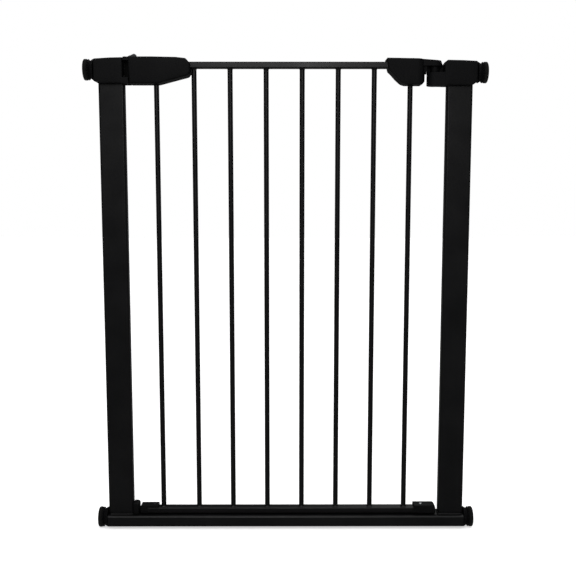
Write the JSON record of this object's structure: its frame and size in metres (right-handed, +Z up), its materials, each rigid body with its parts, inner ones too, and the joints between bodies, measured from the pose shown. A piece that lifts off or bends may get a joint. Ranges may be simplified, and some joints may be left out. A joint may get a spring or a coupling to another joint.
{
  "type": "safety baby gate",
  "caption": "Pressure-mounted walk-through safety gate: a lift-and-swing door of upright bars in a steel frame, held between walls by screw-out pads.",
  "frame": {"origin": "on the floor, midway between the two sides and between front and back", "axes": "+Z up, +X towards the hinge side, +Y towards the back of the gate, away from the viewer"},
  "size_m": [0.748, 0.042, 0.9104],
  "materials": {
    "frame_paint": "satin black powder coat on steel tube",
    "casing_plastic": "black moulded ABS with a fine spark-eroded grain",
    "slide_plastic": "dark grey moulded ABS",
    "nylon": "black glass-filled nylon",
    "pad_rubber": "black moulded rubber",
    "plated_steel": "bright zinc-plated steel",
    "screw_steel": "black zinc-plated steel"
  },
  "bodies": {
    "frame": {"bar_plug_left": "casing_plastic", "bar_plug_right": "casing_plastic", "bottom_bar": "frame_paint", "hinge_cap_back": "casing_plastic", "hinge_cap_front": "casing_plastic", "hinge_cap_screws": "screw_steel", "latch_cap_back": "casing_plastic", "latch_cap_front": "casing_plastic", "latch_cap_screws": "screw_steel", "lower_hinge_socket": "nylon", "lower_stop_block": "casing_plastic", "post_insert_left": "casing_plastic", "post_insert_right": "casing_plastic", "post_left": "frame_paint", "post_right": "frame_paint", "post_welds": "frame_paint"},
    "hinge_bushes": {"upper_hinge_bush": "nylon", "lower_hinge_bush": "nylon"},
    "door": {"bolt_spring": "plated_steel", "door_bar_1": "frame_paint", "door_bar_2": "frame_paint", "door_bar_3": "frame_paint", "door_bar_4": "frame_paint", "door_bar_5": "frame_paint", "door_bar_6": "frame_paint", "door_bar_7": "frame_paint", "door_bar_8": "frame_paint", "door_bottom_rail": "frame_paint", "door_top_rail": "frame_paint", "handle_back": "casing_plastic", "handle_front": "casing_plastic", "handle_screws": "screw_steel", "hinge_casing_back": "casing_plastic", "hinge_casing_front": "casing_plastic", "hinge_casing_screws": "screw_steel", "latch_tongue": "nylon", "lower_hinge_pin": "plated_steel", "lower_hinge_screw": "plated_steel", "lower_hinge_shoe": "casing_plastic", "lower_latch_screw": "screw_steel", "lower_latch_shoe": "casing_plastic", "upper_hinge_pin": "plated_steel"},
    "release": {"latch_bolt": "nylon", "thumb_slide": "slide_plastic"},
    "wheel_upper_left": {"adjusting_wheel_upper_left": "casing_plastic"},
    "spindle_upper_left": {"spindle_upper_left": "plated_steel", "wall_pad_upper_left": "pad_rubber"},
    "wheel_upper_right": {"adjusting_wheel_upper_right": "casing_plastic"},
    "spindle_upper_right": {"spindle_upper_right": "plated_steel", "wall_pad_upper_right": "pad_rubber"},
    "wheel_lower_left": {"adjusting_wheel_lower_left": "casing_plastic"},
    "spindle_lower_left": {"spindle_lower_left": "plated_steel", "wall_pad_lower_left": "pad_rubber"},
    "wheel_lower_right": {"adjusting_wheel_lower_right": "casing_plastic"},
    "spindle_lower_right": {"spindle_lower_right": "plated_steel", "wall_pad_lower_right": "pad_rubber"}
  },
  "joints": [
    {"name": "door_swing", "type": "hinge", "parent": "frame", "child": "hinge_bushes", "pos_m": [0.277, 0, 0], "axis": [0, 0, 1], "range_deg": [-90, 90]},
    {"name": "door_lift", "type": "slide", "parent": "hinge_bushes", "child": "door", "axis": [0, 0, 1], "range_m": [0, 0.012]},
    {"name": "bolt_release", "type": "slide", "parent": "door", "child": "release", "axis": [1, 0, 0], "range_m": [0, 0.008], "stiffness_N_per_m": 250, "springref_m": -0.006, "deforming": ["bolt_spring"]},
    {"name": "spindle_upper_left_travel", "type": "slide", "parent": "frame", "child": "spindle_upper_left", "axis": [-1, 0, 0], "range_m": [0, 0.03]},
    {"name": "wheel_upper_left_turn", "type": "hinge", "parent": "frame", "child": "wheel_upper_left", "pos_m": [-0.36, 0, 0.8823], "axis": [-1, 0, 0], "range_deg": [0, 3600]},
    {"name": "spindle_upper_right_travel", "type": "slide", "parent": "frame", "child": "spindle_upper_right", "axis": [1, 0, 0], "range_m": [0, 0.03]},
    {"name": "wheel_upper_right_turn", "type": "hinge", "parent": "frame", "child": "wheel_upper_right", "pos_m": [0.36, 0, 0.8774], "axis": [1, 0, 0], "range_deg": [0, 3600]},
    {"name": "spindle_lower_left_travel", "type": "slide", "parent": "frame", "child": "spindle_lower_left", "axis": [-1, 0, 0], "range_m": [0, 0.03]},
    {"name": "wheel_lower_left_turn", "type": "hinge", "parent": "frame", "child": "wheel_lower_left", "pos_m": [-0.36, 0, 0.0195], "axis": [-1, 0, 0], "range_deg": [0, 3600]},
    {"name": "spindle_lower_right_travel", "type": "slide", "parent": "frame", "child": "spindle_lower_right", "axis": [1, 0, 0], "range_m": [0, 0.03]},
    {"name": "wheel_lower_right_turn", "type": "hinge", "parent": "frame", "child": "wheel_lower_right", "pos_m": [0.36, 0, 0.0195], "axis": [1, 0, 0], "range_deg": [0, 3600]}
  ],
  "couplings": [
    {"joint": "wheel_upper_left_turn", "follows": "spindle_upper_left_travel", "rad_per_m": 2094.4},
    {"joint": "wheel_upper_right_turn", "follows": "spindle_upper_right_travel", "rad_per_m": 2094.4},
    {"joint": "wheel_lower_left_turn", "follows": "spindle_lower_left_travel", "rad_per_m": 2094.4},
    {"joint": "wheel_lower_right_turn", "follows": "spindle_lower_right_travel", "rad_per_m": 2094.4}
  ]
}
